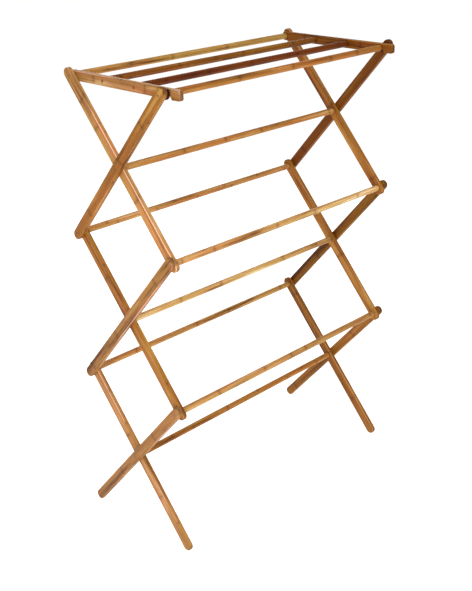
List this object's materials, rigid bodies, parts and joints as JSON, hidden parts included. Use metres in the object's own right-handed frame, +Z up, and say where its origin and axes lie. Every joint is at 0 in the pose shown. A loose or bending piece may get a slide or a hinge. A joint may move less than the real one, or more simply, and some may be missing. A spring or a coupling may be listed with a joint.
{
  "type": "clothes drying rack",
  "caption": "Free-standing folding drying rack: crossed accordion legs at each end, long round hanging bars between them and a hinged slatted shelf hooked on top.",
  "frame": {"origin": "on the floor, at the middle of the rack's outline in plan", "axes": "+X to the right along the hanging bars, -Y towards the front where the shelf hooks on, +Z up"},
  "size_m": [0.74, 0.36, 1.1],
  "materials": {
    "leg_bamboo": "clear satin lacquer over bamboo",
    "rail_bamboo": "clear satin lacquer over bamboo",
    "bar_bamboo": "clear satin lacquer over bamboo",
    "spacer_bamboo": "clear satin lacquer over bamboo",
    "nail_steel": "dull, darkened",
    "screw_steel": "dull, darkened"
  },
  "bodies": {
    "low_crossing": {"low_crossing_bar": "bar_bamboo"},
    "inner_legs_low": {"left_inner_leg_low": "leg_bamboo", "right_inner_leg_low": "leg_bamboo"},
    "outer_legs_low": {"left_outer_leg_low": "leg_bamboo", "right_outer_leg_low": "leg_bamboo", "lower_front_bar": "bar_bamboo", "left_nail_lower_front": "nail_steel", "left_nail_low_crossing": "nail_steel", "right_nail_lower_front": "nail_steel", "right_nail_low_crossing": "nail_steel"},
    "inner_legs_middle": {"left_inner_leg_middle": "leg_bamboo", "right_inner_leg_middle": "leg_bamboo"},
    "outer_legs_middle": {"left_outer_leg_middle": "leg_bamboo", "right_outer_leg_middle": "leg_bamboo", "upper_front_bar": "bar_bamboo", "middle_crossing_bar": "bar_bamboo", "lower_back_bar": "bar_bamboo", "left_nail_upper_front": "nail_steel", "left_nail_middle_crossing": "nail_steel", "left_nail_lower_back": "nail_steel", "right_nail_upper_front": "nail_steel", "right_nail_middle_crossing": "nail_steel", "right_nail_lower_back": "nail_steel"},
    "inner_legs_top": {"left_inner_leg_top": "leg_bamboo", "right_inner_leg_top": "leg_bamboo", "left_nail_top_back": "nail_steel", "right_nail_top_back": "nail_steel"},
    "outer_legs_top": {"left_outer_leg_top": "leg_bamboo", "right_outer_leg_top": "leg_bamboo", "top_front_bar": "bar_bamboo", "top_crossing_bar": "bar_bamboo", "upper_back_bar": "bar_bamboo", "left_front_spacer": "spacer_bamboo", "right_front_spacer": "spacer_bamboo", "left_nail_top_front": "nail_steel", "left_nail_top_crossing": "nail_steel", "left_nail_upper_back": "nail_steel", "right_nail_top_front": "nail_steel", "right_nail_top_crossing": "nail_steel", "right_nail_upper_back": "nail_steel"},
    "hinge_bar": {"top_back_bar": "bar_bamboo"},
    "shelf": {"left_shelf_rail": "rail_bamboo", "right_shelf_rail": "rail_bamboo", "shelf_bar_back": "bar_bamboo", "shelf_bar_front": "bar_bamboo", "left_screw_back": "screw_steel", "left_screw_front": "screw_steel", "right_screw_back": "screw_steel", "right_screw_front": "screw_steel"}
  },
  "joints": [
    {"name": "fold", "type": "hinge", "parent": "low_crossing", "child": "inner_legs_low", "pos_m": [0, 0.01065, 0.19487], "axis": [-1, 0, 0], "range_deg": [0, 46]},
    {"name": "fold_outer_low", "type": "hinge", "parent": "low_crossing", "child": "outer_legs_low", "pos_m": [0, 0.01065, 0.19487], "axis": [-1, 0, 0], "range_deg": [-46, 0]},
    {"name": "fold_inner_middle", "type": "hinge", "parent": "outer_legs_low", "child": "inner_legs_middle", "pos_m": [0, -0.14214, 0.37244], "axis": [-1, 0, 0], "range_deg": [0, 92]},
    {"name": "fold_outer_middle", "type": "hinge", "parent": "inner_legs_low", "child": "outer_legs_middle", "pos_m": [0, 0.16343, 0.37244], "axis": [-1, 0, 0], "range_deg": [-92, 0]},
    {"name": "fold_inner_top", "type": "hinge", "parent": "outer_legs_middle", "child": "inner_legs_top", "pos_m": [0, -0.14214, 0.72757], "axis": [-1, 0, 0], "range_deg": [0, 92]},
    {"name": "fold_outer_top", "type": "hinge", "parent": "inner_legs_middle", "child": "outer_legs_top", "pos_m": [0, 0.16343, 0.72757], "axis": [-1, 0, 0], "range_deg": [-92, 0]},
    {"name": "hinge_bar_turn", "type": "hinge", "parent": "inner_legs_top", "child": "hinge_bar", "pos_m": [0, 0.16343, 1.08269], "axis": [-1, 0, 0], "range_deg": [0, 46]},
    {"name": "shelf_lift", "type": "hinge", "parent": "hinge_bar", "child": "shelf", "pos_m": [0, 0.16343, 1.08269], "axis": [-1, 0, 0], "range_deg": [0, 120]}
  ],
  "couplings": [
    {"joint": "fold_outer_low", "follows": "fold", "ratio": -1},
    {"joint": "fold_inner_middle", "follows": "fold", "ratio": 2},
    {"joint": "fold_outer_middle", "follows": "fold", "ratio": -2},
    {"joint": "fold_inner_top", "follows": "fold", "ratio": 2},
    {"joint": "fold_outer_top", "follows": "fold", "ratio": -2},
    {"joint": "hinge_bar_turn", "follows": "fold", "ratio": 1}
  ]
}
